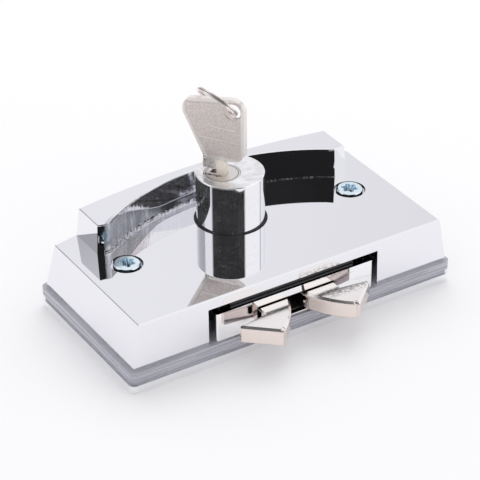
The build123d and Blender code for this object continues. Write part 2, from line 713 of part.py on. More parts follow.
def tail_slot(z0, z1, fit):
    """The flat bar of the tailpiece, or its hole when fit is given, lying in the key's plane."""
    wide, thick = TAILPIECE_W + 2 * fit, TAILPIECE_T + 2 * fit
    bar = Box(wide, thick, z1 - z0, align=(Align.CENTER, Align.CENTER, Align.MIN))
    return Pos(PLUG_X, PLUG_Y, z0) * Rot(0, 0, KEY_ANGLE) * bar


def drive_cam():
    """A disc that turns with the tailpiece in the case's floor and carries the crank pin."""
    cam = upright(HUB_R, Z_BASE + 0.1, Z_CAM + 0.1, PLUG_X, PLUG_Y)
    cam += upright(CAM_R, Z_CAM, Z_CAM + CAM_T, PLUG_X, PLUG_Y)
    a = math.radians(CRANK_START)
    x, y = PLUG_X + CRANK_R * math.cos(a), PLUG_Y + CRANK_R * math.sin(a)
    cam += upright(CRANK_PIN_R, Z_CAM + CAM_T - 0.1, Z_SLIDE_TOP - 0.1, x, y)
    return cam - tail_slot(Z_BASE - 1, Z_SLIDE_TOP + 1, TAILPIECE_FIT)


def barrel():
    """The press cylinder, bored off centre for the plug, grooved for the yoke."""
    body = upright(BARREL_R, Z_BARREL, Z_BARREL_TOP, 0, BARREL_Y)
    body = fillet(body.edges().group_by(Axis.Z)[-1], BARREL_EDGE)
    body -= upright(PLUG_R + PLUG_FIT, Z_PLUG - 0.05, Z_BARREL_TOP + 1, PLUG_X, PLUG_Y)
    body -= upright(STUB_R + PLUG_FIT, Z_BARREL - 1, Z_BARREL_TOP, PLUG_X, PLUG_Y)
    groove = upright(BARREL_R + 1, Z_YOKE - 0.02, Z_YOKE + YOKE_T + 0.02, 0, BARREL_Y)
    groove -= upright(BARREL_R - YOKE_GROOVE, Z_YOKE - 1, Z_YOKE + YOKE_T + 1, 0, BARREL_Y)
    body -= groove
    half = TONGUE_W / 2 + TONGUE_FIT
    z0 = Z_BUSH + TONGUE_UP - 1.6
    body -= block(TONGUE_BACK - 0.1, BARREL_R + 1, BARREL_Y - half, BARREL_Y + half, z0 - TONGUE_FIT,
                  z0 + TONGUE_H + TONGUE_FIT)
    return body


def locking_tongue():
    """The sprung tongue at the barrel's side, drawn in at rest."""
    z0 = Z_BUSH + TONGUE_UP - 1.6
    half = TONGUE_W / 2
    bar = block(TONGUE_BACK, BARREL_R + 1, BARREL_Y - half, BARREL_Y + half, z0, z0 + TONGUE_H)
    return bar & upright(BARREL_R - 0.1, z0 - 1, z0 + TONGUE_H + 1, 0, BARREL_Y)


def barrel_yoke():
    """A forked plate pushed into the barrel's groove, with an ear over each return spring."""
    plate = upright(YOKE_R, Z_YOKE, Z_YOKE + YOKE_T, 0, BARREL_Y)
    half = YOKE_EAR_W / 2
    plate += block(-YOKE_SPAN / 2, YOKE_SPAN / 2, BARREL_Y - half, BARREL_Y + half, Z_YOKE, Z_YOKE + YOKE_T)
    inner = BARREL_R - YOKE_GROOVE + 0.02
    plate -= upright(inner, Z_YOKE - 1, Z_YOKE + 2, 0, BARREL_Y)
    plate -= block(-inner, inner, BARREL_Y, BARREL_Y + YOKE_R + 1, Z_YOKE - 1, Z_YOKE + 2)
    return plate


def return_springs():
    """Two wound springs that push the yoke, and so the barrel, up."""
    z0 = Z_FLOOR + SPRING_END
    height = Z_YOKE - SPRING_END - z0
    one = coil(SPRING_X, BARREL_Y, z0, height, SPRING_R, SPRING_WIRE, SPRING_TURNS)
    return [one, mirror(one, about=Plane.YZ)]


def guide_bush():
    """The black bush that the barrel runs in, flanged under the casing's top."""
    bush = upright(BUSH_FLANGE_R, Z_BUSH, Z_BUSH + BUSH_FLANGE_T, 0, BARREL_Y)
    bush += upright(BARREL_R + RING_GAP - 0.03, Z_BUSH, Z_TOP - BUSH_SINK, 0, BARREL_Y)
    return bush - upright(BARREL_R + BARREL_FIT, Z_BUSH - 1, Z_TOP + 1, 0, BARREL_Y)


def key_plane(u, v, w=0.0):
    """A point given along the key's width, up from the barrel's face, and across its thickness."""
    a = math.radians(KEY_ANGLE)
    return Vector(PLUG_X + u * math.cos(a) - w * math.sin(a), PLUG_Y + u * math.sin(a) + w * math.cos(a),
                  Z_BARREL_TOP + v)


def key_block(u0, u1, v0, v1, w0, w1):
    """A box in the key's own directions."""
    box = Box(u1 - u0, w1 - w0, v1 - v0, align=(Align.MIN, Align.MIN, Align.MIN))
    return Pos(PLUG_X, PLUG_Y, Z_BARREL_TOP) * Rot(0, 0, KEY_ANGLE) * (Pos(u0, w0, v0) * box)


def cut_heights():
    """How far below the barrel's face the middle of each key cut lies."""
    return [-(CUT_FIRST + i * CUT_PITCH) for i in range(len(BLADE_CUTS))]


def keyway():
    """The slot that the key's blade goes down."""
    half = BLADE_T / 2 + KEYWAY_FIT
    return key_block(BLADE_LEFT - KEYWAY_FIT, BLADE_RIGHT + KEYWAY_FIT, -BLADE_DEPTH - 0.2, 1, -half, half)


def wafer_cutter(fit):
    """The flat slots across the plug, or the wafers' own bodies."""
    bars = []
    half = WAFER_W / 2 + fit
    for v in cut_heights():
        bars.append(key_block(-8, 8, v - WAFER_T / 2 - fit, v + WAFER_T / 2 + fit, -half, half))
    return bars


def plug():
    """The turning core, with the keyway and the wafer slots."""
    core = upright(PLUG_R, Z_PLUG, Z_BARREL_TOP, PLUG_X, PLUG_Y)
    core = chamfer(core.edges().group_by(Axis.Z)[-1], 0.15)
    core += upright(STUB_R, Z_STUB, Z_PLUG + 0.1, PLUG_X, PLUG_Y)
    for bar in wafer_cutter(WAFER_FIT):
        core -= bar
    core -= keyway()
    groove_z = Z_BARREL - CLIP_T - 0.05
    groove = upright(STUB_R + 1, groove_z - 0.02, groove_z + CLIP_T + 0.02, PLUG_X, PLUG_Y)
    groove -= upright(STUB_R - CLIP_GROOVE, groove_z - 1, groove_z + 2, PLUG_X, PLUG_Y)
    core -= groove
    return core - tail_slot(Z_STUB - 1, Z_STUB + TAILPIECE_SEAT, 0.02)


def wafers():
    """Five brass wafers, each with a window that the blade passes through."""
    rim = upright(PLUG_R - 0.05, Z_PLUG - 1, Z_BARREL_TOP + 1, PLUG_X, PLUG_Y)
    return [(bar & rim) - keyway() for bar in wafer_cutter(0.0)]


def plug_clip():
    """The open spring clip that keeps the plug in the barrel."""
    z = Z_BARREL - CLIP_T - 0.05
    inner = STUB_R - CLIP_GROOVE + 0.02
    clip = upright(CLIP_R, z, z + CLIP_T, PLUG_X, PLUG_Y) - upright(inner, z - 1, z + 2, PLUG_X, PLUG_Y)
    gap = block(PLUG_X - 1.8, PLUG_X + 1.8, PLUG_Y, PLUG_Y + CLIP_R + 1, z - 1, z + 2)
    return clip - gap


def tailpiece():
    """The flat bar from the plug down through the cam."""
    return tail_slot(Z_BASE + 0.6, Z_STUB + TAILPIECE_SEAT - 0.02, 0.0)


def bow_edges():
    """The bow's outline in the key's plane, from the shoulder round the top and back."""
    a = (SHOULDER_LEFT, SHOULDER_UP)
    b = (SHOULDER_LEFT, BOW_WAIST_UP)
    c = (BOW_LEFT, BOW_SHOULDER_UP)
    d = (BOW_LEFT, BOW_TOP_LEFT)
    e = (BOW_RIGHT, BOW_TOP_RIGHT)
    f = (BOW_RIGHT, BOW_BOTTOM + 0.9)
    g = (BLADE_RIGHT, BOW_BOTTOM)
    h = (BLADE_RIGHT, SHOULDER_UP)
    points = [a, b, c, d, e, f, g, h]
    return FilletPolyline(*points, radius=[0.0, 1.5, 1.6, BOW_ROUND, BOW_ROUND, BOW_ROUND, 0.3, 0.0][1:-1],
                          close=False), a, h


def key_face(edges):
    """Stands an outline of the key's plane up in its place."""
    plane = Plane(origin=key_plane(0, 0), x_dir=key_plane(1, 0) - key_plane(0, 0),
                  z_dir=key_plane(0, 0, -1) - key_plane(0, 0))
    return plane * make_face(Wire(edges))


def key():
    """The flat key: bow with its ring hole, shoulder, neck and a blade cut on one edge."""
    line, a, h = bow_edges()
    bow = extrude(key_face([*line.edges(), Line(h, a)]), KEY_T / 2, both=True)
    rims = [e for e in bow.edges() if abs(abs(key_depth(e.center())) - KEY_T / 2) < 0.01]
    rims = [e for e in rims if key_up(e.center()) > SHOULDER_UP + 0.1]
    bow = fillet(rims, KEY_EDGE)
    across = key_plane(0, 0, 1) - key_plane(0, 0)
    hole_axis = Plane(origin=key_plane(KEY_HOLE_U, KEY_HOLE_V, -3), z_dir=across)
    bow -= extrude(hole_axis * Circle(KEY_HOLE_R), 6)
    rims = [e for e in bow.edges().filter_by(GeomType.CIRCLE) if abs(e.radius - KEY_HOLE_R) < 0.01]
    bow = chamfer(rims, KEY_EDGE)
    points = [(BLADE_RIGHT, SHOULDER_UP + 0.5), (BLADE_RIGHT, -BLADE_DEPTH + 1.4),
              (BLADE_RIGHT - 1.4, -BLADE_DEPTH), (BLADE_LEFT + 1.2, -BLADE_DEPTH),
              (BLADE_LEFT, -BLADE_DEPTH + 1.2)]
    for v, depth in reversed(list(zip(cut_heights(), BLADE_CUTS))):
        foot, flat = CUT_FLAT / 2 + CUT_FLANK + CUT_EASE, CUT_FLAT / 2 - CUT_EASE
        points += [(BLADE_LEFT, v - foot), (BLADE_LEFT + depth, v - flat),
                   (BLADE_LEFT + depth, v + flat), (BLADE_LEFT, v + foot)]
    points += [(BLADE_LEFT, -1.0), (BLADE_NECK, -0.4), (BLADE_NECK, SHOULDER_UP + 0.5)]
    points += [points[0]]
    edges = [Line(p, q) for p, q in zip(points, points[1:])]
    blade = extrude(key_face(edges), BLADE_T / 2, both=True)
    return bow + blade


def key_depth(p):
    """How far a point lies across the key's thickness."""
    a = math.radians(KEY_ANGLE)
    return -(p.X - PLUG_X) * math.sin(a) + (p.Y - PLUG_Y) * math.cos(a)


def key_up(p):
    """How far a point stands above the barrel's face."""
    return p.Z - Z_BARREL_TOP


def key_ring():
    """The split ring through the key's hole, drawn as one closed band with a groove round its rim."""
    centre = key_plane(KEY_HOLE_U + RING_FROM_HOLE[0], KEY_HOLE_V + RING_FROM_HOLE[1], RING_FROM_HOLE[2])
    inner, outer = RING_R - RING_RADIAL / 2, RING_R + RING_RADIAL / 2
    band = Cylinder(outer, RING_AXIAL) - Cylinder(inner, RING_AXIAL + 1)
    band = fillet(band.edges().filter_by(GeomType.CIRCLE), 0.12)
    groove = Cylinder(outer + 1, RING_GROOVE) - Cylinder(outer - RING_GROOVE, RING_GROOVE + 1)
    band -= groove
    return Pos(centre.X, centre.Y, centre.Z) * Rot(0, 0, RING_TURN) * Rot(0, RING_TILT, 0) * band


NODES = {
    "back_plate": back_plate,
    "rear_gasket": rear_gasket,
    "front_gasket": front_gasket,
    "housing": housing,
    "mounting_screws": mounting_screws,
    "face_plate": face_plate,
    "case_base": case_base,
    "case_cover": case_cover,
    "cover_posts": cover_posts,
    "case_screws": case_screws,
    "pivot_pins": pivot_pins,
    "pivot_bushes": pivot_bushes,
    "slide_studs": slide_studs,
    "guide_bush": guide_bush,
    "left_claw": left_claw,
    "right_claw": right_claw,
    "left_claw_spring": left_claw_spring,
    "right_claw_spring": right_claw_spring,
    "drive_slide": drive_slide,
    "drive_cam": drive_cam,
    "barrel": barrel,
    "barrel_yoke": barrel_yoke,
    "return_springs": return_springs,
    "locking_tongue": locking_tongue,
    "plug": plug,
    "plug_clip": plug_clip,
    "wafers": wafers,
    "tailpiece": tailpiece,
    "key": key,
    "key_ring": key_ring,
}

for name, make in NODES.items():
    made = make()
    solids = []
    for item in (made if isinstance(made, list) else [made]):
        solids += item.solids()
    shape = solids[0] if len(solids) == 1 else Compound(children=solids)
    export_step(shape, f"parts/{name}.step")
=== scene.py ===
import math

import bpy
from mathutils import Matrix, Vector

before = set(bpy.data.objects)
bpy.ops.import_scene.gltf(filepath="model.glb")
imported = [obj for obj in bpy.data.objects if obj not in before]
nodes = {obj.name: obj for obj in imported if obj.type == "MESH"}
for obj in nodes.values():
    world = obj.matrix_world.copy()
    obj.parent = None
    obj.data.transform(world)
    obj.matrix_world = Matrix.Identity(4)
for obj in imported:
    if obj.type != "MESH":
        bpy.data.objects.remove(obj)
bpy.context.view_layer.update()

# The photographer's place: a long lens, about a third of a right angle above the table, in
# front of the claw side and to the left, the camera rolled by less than half a degree.
HEADING, HEIGHT, ROLL = math.radians(-31.785), math.radians(32.230), math.radians(-0.432)
AIM, DISTANCE = (0.007282, 0.015395, 0.0065), 0.61587
back = Vector((math.sin(HEADING) * math.cos(HEIGHT), -math.cos(HEADING) * math.cos(HEIGHT),
               math.sin(HEIGHT)))
level = (-back).cross(Vector((0, 0, 1))).normalized()
upright = level.cross(-back)
right = level * math.cos(ROLL) + upright * math.sin(ROLL)
up = upright * math.cos(ROLL) - level * math.sin(ROLL)
lens = bpy.data.cameras.new("photo_lens")
lens.sensor_width = 36
lens.lens = 163.02
lens.clip_start = 0.05
lens.clip_end = 20
photographer = bpy.data.objects.new("photographer", lens)
photographer.matrix_world = Matrix(
    [(right[i], up[i], back[i], AIM[i] + back[i] * DISTANCE) for i in range(3)] + [(0, 0, 0, 1)])
bpy.context.scene.collection.objects.link(photographer)
bpy.context.scene.camera = photographer
bpy.context.scene.view_settings.view_transform = "Standard"


# The table: a sheet of white paper that the lock lies on. It is lit from above
# and keeps the soft shadow that the back plate and the claws throw.
def new_material(name):
    """An empty node material with its output, as (material, nodes, links, output)."""
    made = bpy.data.materials.new(name)
    made.use_nodes = True
    tree = made.node_tree
    tree.nodes.clear()
    return made, tree.nodes, tree.links, tree.nodes.new("ShaderNodeOutputMaterial")


def plug_in(tree, socket, value):
    """Sets a socket to a number or colour, or links another socket to it."""
    if isinstance(value, (int, float, tuple)):
        socket.default_value = value
    else:
        tree.links.new(value, socket)


def blend_colours(tree, share, first, second):
    """A colour between two others, by the share of the second."""
    node = tree.nodes.new("ShaderNodeMix")
    node.data_type = "RGBA"
    plug_in(tree, node.inputs["Factor"], share)
    plug_in(tree, node.inputs["A"], first)
    plug_in(tree, node.inputs["B"], second)
    return node.outputs["Result"]


def grain(tree, scale, stretch=(1, 1, 1), detail=2.0):
    """Noise on the piece's own coordinates, its scale along each axis times the stretch."""
    place = tree.nodes.new("ShaderNodeTexCoord")
    mapping = tree.nodes.new("ShaderNodeMapping")
    mapping.inputs["Scale"].default_value = stretch
    noise = tree.nodes.new("ShaderNodeTexNoise")
    noise.inputs["Scale"].default_value = scale
    noise.inputs["Detail"].default_value = detail
    tree.links.new(place.outputs["Object"], mapping.inputs["Vector"])
    tree.links.new(mapping.outputs["Vector"], noise.inputs["Vector"])
    return noise.outputs["Fac"]


paper, paper_nodes, paper_links, paper_out = new_material("white_paper")
paper_shader = paper_nodes.new("ShaderNodeBsdfPrincipled")
paper_shader.inputs["Roughness"].default_value = 0.9
paper_shader.inputs["Specular IOR Level"].default_value = 0.1
paper_shader.inputs["Emission Strength"].default_value = 0.16
paper_shader.inputs["Emission Color"].default_value = (1, 1, 1, 1)
plug_in(paper.node_tree, paper_shader.inputs["Base Color"],
        blend_colours(paper.node_tree, grain(paper.node_tree, 900),
                      (0.8, 0.8, 0.815, 1), (0.82, 0.82, 0.835, 1)))
paper_links.new(paper_shader.outputs["BSDF"], paper_out.inputs["Surface"])
sheet = bpy.data.meshes.new("paper_table")
sheet.from_pydata([(-3, -3, 0), (3, -3, 0), (3, 3, 0), (-3, 3, 0)], [], [(0, 1, 2, 3)])
paper_table = bpy.data.objects.new("paper_table", sheet)
bpy.context.scene.collection.objects.link(paper_table)
sheet.materials.append(paper)


# The room: white screens nearly all round, with one dark opening behind the camera that
# shows as black bands on the chrome. It is grey behind the lock's left end, and in one
# narrow gap off its right end.
def ease(tree, value, low, high, start=0.0, end=1.0):
    """Runs smoothly from start to end as the value goes from low to high."""
    node = tree.nodes.new("ShaderNodeMapRange")
    node.interpolation_type = "SMOOTHSTEP"
    for name, number in (("From Min", low), ("From Max", high), ("To Min", start), ("To Max", end)):
        node.inputs[name].default_value = number
    plug_in(tree, node.inputs["Value"], value)
    return node.outputs["Result"]


def sums(tree):
    """A function that adds a sum of one or more values to the node tree and returns its output."""
    def add(kind, first, *others):
        total = first
        for other in others or (0.0,):
            node = tree.nodes.new("ShaderNodeMath")
            node.operation = kind
            plug_in(tree, node.inputs[0], total)
            plug_in(tree, node.inputs[1], other)
            total = node.outputs[0]
        return total
    return add


room = bpy.data.worlds.new("white_room")
bpy.context.scene.world = room
room.use_nodes = True
walls = room.node_tree
walls.nodes.clear()
room_out = walls.nodes.new("ShaderNodeOutputWorld")
room_light = walls.nodes.new("ShaderNodeBackground")
room_way = walls.nodes.new("ShaderNodeTexCoord")
room_axes = walls.nodes.new("ShaderNodeSeparateXYZ")
walls.links.new(room_way.outputs["Generated"], room_axes.inputs["Vector"])
room_x, room_y, room_up = (room_axes.outputs[axis] for axis in "XYZ")
room_sum = sums(walls)
bearing = room_sum("ARCTAN2", room_x, room_sum("MULTIPLY", room_y, -1.0))
round_room = room_sum("ADD", room_sum("MULTIPLY", bearing, 1 / (2 * math.pi)), 0.5)


def screens(stops):
    """The light of the walls by bearing in degrees, as a ramp round the room."""
    node = walls.nodes.new("ShaderNodeValToRGB")
    ramp = node.color_ramp
    for i, (degrees, light) in enumerate(stops):
        place = degrees / 360 + 0.5
        element = ramp.elements[i] if i < 2 else ramp.elements.new(place)
        element.position = place
        element.color = (light, light, min(1.0, light * 1.03), 1)
    walls.links.new(round_room, node.inputs["Fac"])
    return node.outputs["Color"]


low_wall = screens([
    (-180, 0.66), (-160, 0.46), (-131, 0.4), (-127, 0.85), (-99, 0.85), (-93, 0.02), (14, 0.015),
    (20, 1.0), (83, 1.0), (85, 0.25), (87, 0.25), (89, 0.95), (140, 0.8), (146, 0.86), (152, 0.9),
    (179, 0.66),
])
high_wall = screens([
    (-180, 0.9), (-127, 0.9), (-99, 0.88), (-90, 0.03), (12, 0.02), (20, 1.0), (83, 1.0), (140, 0.88),
    (179, 0.9),
])
side_wall = blend_colours(walls, ease(walls, room_up, 0.54, 0.64), low_wall, high_wall)
ceiling = blend_colours(walls, ease(walls, room_up, 0.8, 0.92), side_wall, (0.97, 0.97, 0.99, 1))
seen = walls.nodes.new("ShaderNodeLightPath")
picture = blend_colours(walls, seen.outputs["Is Glossy Ray"], (0.86, 0.86, 0.87, 1), ceiling)
see_through = room_sum("MAXIMUM", seen.outputs["Is Camera Ray"], seen.outputs["Is Transmission Ray"])
walls.links.new(blend_colours(walls, see_through, picture, (1, 1, 1, 1)), room_light.inputs["Color"])
walls.links.new(room_light.outputs["Background"], room_out.inputs["Surface"])

# The lamp: one wide soft box over the lock's right rear, so its shadow falls softly
# to the left and forward. It is kept out of the chrome, which shows the screens.
lamp = bpy.data.lights.new("soft_box", "AREA")
lamp.size = 0.9
lamp.energy = 3.6
soft_box = bpy.data.objects.new("soft_box", lamp)
lamp_place = Vector((0.45, 0.5, 1.1))
lamp_turn = lamp_place.to_track_quat("Z", "Y").to_matrix().to_4x4()
soft_box.matrix_world = Matrix.Translation(lamp_place) @ lamp_turn
soft_box.visible_glossy = False
bpy.context.scene.collection.objects.link(soft_box)

# Polish marks: what every plated or rolled metal here shows close up. Broad ripple from
# buffing, hair-fine scratches along one way and scattered specks, as height and roughness.
marks = bpy.data.node_groups.new("polish_marks", "ShaderNodeTree")
for name, value in (("Ripple", 0.3), ("Scratches", 0.3), ("Specks", 0.3), ("Roughness", 0.05)):
    marks.interface.new_socket(name, in_out="INPUT", socket_type="NodeSocketFloat").default_value = value
for name in ("Roughness", "Height", "Worn"):
    marks.interface.new_socket(name, in_out="OUTPUT", socket_type="NodeSocketFloat")
marks_in = marks.nodes.new("NodeGroupInput")
marks_out = marks.nodes.new("NodeGroupOutput")
marks_sum = sums(marks)
ripple = marks_sum("MULTIPLY", grain(marks, 160, detail=1.0), marks_in.outputs["Ripple"])
hairs = ease(marks, grain(marks, 700, (0.12, 2.4, 1.0), 3.0), 0.62, 0.74)
hairs = marks_sum("MULTIPLY", hairs, marks_in.outputs["Scratches"])
specks = ease(marks, grain(marks, 2600), 0.68, 0.76)
specks = marks_sum("MULTIPLY", specks, marks_in.outputs["Specks"])
worn = marks_sum("ADD", hairs, specks)
worn_rough = marks_sum("ADD", marks_in.outputs["Roughness"], marks_sum("MULTIPLY", worn, 0.25))
worn_height = marks_sum("SUBTRACT", ripple, marks_sum("MULTIPLY", worn, 0.05))
marks.links.new(worn_rough, marks_out.inputs["Roughness"])
marks.links.new(worn_height, marks_out.inputs["Height"])
marks.links.new(worn, marks_out.inputs["Worn"])


def metal(name, bright, worn_tone, roughness, wear, depth):
    """A metal that goes from bright to worn in its marks, as a dictionary of what may be added to it.

    wear is its shares of ripple, scratches and specks, and depth is theirs in millimetres.
    """
    made, tree, links, out = new_material(name)
    shader = tree.new("ShaderNodeBsdfPrincipled")
    shader.inputs["Metallic"].default_value = 1.0
    group = tree.new("ShaderNodeGroup")
    group.node_tree = marks
    for socket, share in zip(("Ripple", "Scratches", "Specks"), wear):
        group.inputs[socket].default_value = share
    group.inputs["Roughness"].default_value = roughness
    tone = blend_colours(made.node_tree, group.outputs["Worn"], (*bright, 1), (*worn_tone, 1))
    bump = tree.new("ShaderNodeBump")
    bump.inputs["Strength"].default_value = 0.5
    bump.inputs["Distance"].default_value = depth / 1000
    links.new(tone, shader.inputs["Base Color"])
    links.new(group.outputs["Roughness"], shader.inputs["Roughness"])
    links.new(group.outputs["Height"], bump.inputs["Height"])
    links.new(bump.outputs["Normal"], shader.inputs["Normal"])
    links.new(shader.outputs["BSDF"], out.inputs["Surface"])
    return {"material": made, "tree": made.node_tree, "shader": shader, "bump": bump, "tone": tone,
            "rough": group.outputs["Roughness"]}


# The casing: a zinc casting, mirror-plated and buffed. The left half of the finger pull's
# hollow is ground up and down, dull and streaked below a crease, with a rough bead of
# plating along its foot.
def feed(made, name, value):
    """Gives one of the inputs of a metal's shader a value of its own."""
    plug_in(made["tree"], made["shader"].inputs[name], value)


def relief(made, height, depth, strength=1.0):
    """Adds a second bump of the given height under a metal's own marks, its depth in millimetres."""
    bump = made["tree"].nodes.new("ShaderNodeBump")
    bump.inputs["Strength"].default_value = strength
    bump.inputs["Distance"].default_value = depth / 1000
    plug_in(made["tree"], bump.inputs["Height"], height)
    made["tree"].links.new(bump.outputs["Normal"], made["bump"].inputs["Normal"])


def axes_of(tree, place=(0, 0, 0), turn=0.0):
    """The piece's coordinates in millimetres from a place, turned about Z, as three outputs."""
    coord = tree.nodes.new("ShaderNodeTexCoord")
    move = tree.nodes.new("ShaderNodeMapping")
    move.vector_type = "TEXTURE"
    move.inputs["Location"].default_value = tuple(v / 1000 for v in place)
    move.inputs["Rotation"].default_value = (0, 0, math.radians(turn))
    move.inputs["Scale"].default_value = (0.001, 0.001, 0.001)
    split = tree.nodes.new("ShaderNodeSeparateXYZ")
    tree.links.new(coord.outputs["Object"], move.inputs["Vector"])
    tree.links.new(move.outputs["Vector"], split.inputs["Vector"])
    return split.outputs["X"], split.outputs["Y"], split.outputs["Z"]


def off_axis(add, x, y):
    """How far a point lies from an upright axis, the root of the sum of x squared and y squared."""
    return add("SQRT", add("ADD", add("MULTIPLY", x, x), add("MULTIPLY", y, y)))


def finish_node(name, material):
    """Gives a CAD node its one material."""
    mesh = nodes[name].data
    mesh.materials.clear()
    mesh.materials.append(material)


HOLLOW_CENTRE, HOLLOW_R, CASE_TOP = -44.4, 66.2, 20.2
CREASE_FROM, CREASE_TO = (-36.0, 9.0), (-13.0, 2.4)
case_chrome = metal("case_chrome", (0.87, 0.87, 0.9), (0.8, 0.8, 0.82), 0.02,
                    wear=(0.3, 0.1, 0.12), depth=0.02)
case_tree = case_chrome["tree"]
case_sum = sums(case_tree)
case_x, case_y, case_up = axes_of(case_tree, (0, HOLLOW_CENTRE, CASE_TOP))
from_centre = off_axis(case_sum, case_x, case_y)
on_wall = case_sum("MULTIPLY", ease(case_tree, from_centre, HOLLOW_R - 0.5, HOLLOW_R - 0.2),
                   ease(case_tree, from_centre, HOLLOW_R + 1.3, HOLLOW_R + 1.1),
                   ease(case_tree, case_up, 0.02, 0.1))
left_wall = case_sum("MULTIPLY", on_wall, ease(case_tree, case_x, 9.0, 5.0))
right_wall = case_sum("MULTIPLY", on_wall, ease(case_tree, case_x, 7.0, 8.0))
crease = ease(case_tree, case_x, CREASE_FROM[0], CREASE_TO[0], CREASE_FROM[1], CREASE_TO[1])
above_crease = case_sum("SUBTRACT", case_up, crease)

# Its dull part: rougher and greyer along the streaks, less so at the foot.
wall_streaks = ease(case_tree, grain(case_tree, 1100, (1.0, 1.0, 0.1), 3.0), 0.3, 0.7)
wall_clouds = ease(case_tree, grain(case_tree, 170, (1.0, 1.0, 1.6), 2.0), 0.35, 0.65)
wall_dull = case_sum("MULTIPLY", left_wall, ease(case_tree, above_crease, 0.3, -0.25),
                     ease(case_tree, case_up, 0.5, 1.3, 0.4, 1.0))
wall_rough = case_sum("ADD", 0.12, case_sum("MULTIPLY", case_sum("ADD", wall_streaks, wall_clouds), 0.1))
feed(case_chrome, "Roughness",
     case_sum("ADD", case_chrome["rough"], case_sum("MULTIPLY", wall_dull, wall_rough)))
wall_grey = case_sum("MULTIPLY", wall_dull,
                     case_sum("ADD", 0.6, case_sum("MULTIPLY", wall_streaks, 0.4)))
wall_coat = blend_colours(case_tree, wall_grey, case_chrome["tone"], (0.44, 0.455, 0.495, 1))
foot_dots = case_sum("MULTIPLY", ease(case_tree, case_up, 0.7, 0.35),
                     ease(case_tree, grain(case_tree, 1300), 0.45, 0.55), 0.8, left_wall)
feed(case_chrome, "Base Color",
     blend_colours(case_tree, foot_dots, wall_coat, (0.1, 0.105, 0.115, 1)))

# Its relief: the bead and the crease. A thin film lies above the crease and along the
# right foot.
bead = case_sum("MULTIPLY", ease(case_tree, case_up, 1.0, 0.3),
                ease(case_tree, grain(case_tree, 1000), 0.4, 0.6))
wall_height = case_sum("ADD", bead, case_sum("MULTIPLY", wall_streaks, 0.05),
                       ease(case_tree, above_crease, -0.12, 0.12, 0.0, 0.4))
relief(case_chrome, case_sum("MULTIPLY", left_wall, wall_height), 0.1)
left_film = case_sum("MULTIPLY", left_wall, ease(case_tree, above_crease, 0.1, 0.6),
                     case_sum("ADD", 0.01, case_sum("MULTIPLY", wall_streaks, 0.07)))
right_film = case_sum("MULTIPLY", ease(case_tree, case_up, 0.4, 0.2),
                      ease(case_tree, grain(case_tree, 2000), 0.4, 0.7, 0.0, 0.3), right_wall)
feed(case_chrome, "Metallic", case_sum("SUBTRACT", 1.0, case_sum("MAXIMUM", left_film, right_film)))
finish_node("housing", case_chrome["material"])

# The back plate: polished steel, the outermost layer. It lies behind the glass, and the
# screws from the casing pull it against the gasket.
plate_chrome = metal("plate_chrome", (0.93, 0.93, 0.95), (0.8, 0.8, 0.84), 0.07,
                     wear=(0.3, 0.3, 0.2), depth=0.02)
finish_node("back_plate", plate_chrome["material"])

# The gaskets: soft clear sheets either side of the glass. Their cut edges are dull from the
# knife, with fine marks along them.
clear_gasket, gasket_nodes, gasket_links, gasket_out = new_material("clear_gasket")
gasket_tree = clear_gasket.node_tree
gasket_shader = gasket_nodes.new("ShaderNodeBsdfPrincipled")
gasket_shader.inputs["Transmission Weight"].default_value = 0.3
gasket_shader.inputs["IOR"].default_value = 1.45
knife_marks = ease(gasket_tree, grain(gasket_tree, 1500, (0.03, 0.03, 1), 3.0), 0.35, 0.68)
plug_in(gasket_tree, gasket_shader.inputs["Base Color"],
        blend_colours(gasket_tree, knife_marks, (0.53, 0.53, 0.61, 1), (0.73, 0.73, 0.8, 1)))
plug_in(gasket_tree, gasket_shader.inputs["Roughness"],
        ease(gasket_tree, knife_marks, 0.0, 1.0, 0.18, 0.4))
gasket_bump = gasket_nodes.new("ShaderNodeBump")
gasket_bump.inputs["Distance"].default_value = 0.00004
gasket_links.new(knife_marks, gasket_bump.inputs["Height"])
gasket_links.new(gasket_bump.outputs["Normal"], gasket_shader.inputs["Normal"])
gasket_links.new(gasket_shader.outputs["BSDF"], gasket_out.inputs["Surface"])
finish_node("front_gasket", clear_gasket)
finish_node("rear_gasket", clear_gasket)

# The fixing screws: steel under blue-passivated zinc, with a six-lobed socket. They go
# through the casing and the gaskets into the back plate.
blue_zinc = metal("blue_zinc", (0.82, 0.93, 1.0), (0.5, 0.6, 0.72), 0.16,
                  wear=(0.5, 0.3, 0.5), depth=0.03)
finish_node("mounting_screws", blue_zinc["material"])

# The face plate: bright rolled steel, bent over the front of the casing. The claws come
# out of its slot, and have scratched it lightly.
face_steel = metal("face_steel", (0.95, 0.94, 0.95), (0.72, 0.71, 0.7), 0.06,
                   wear=(0.5, 0.5, 0.3), depth=0.02)
finish_node("face_plate", face_steel["material"])

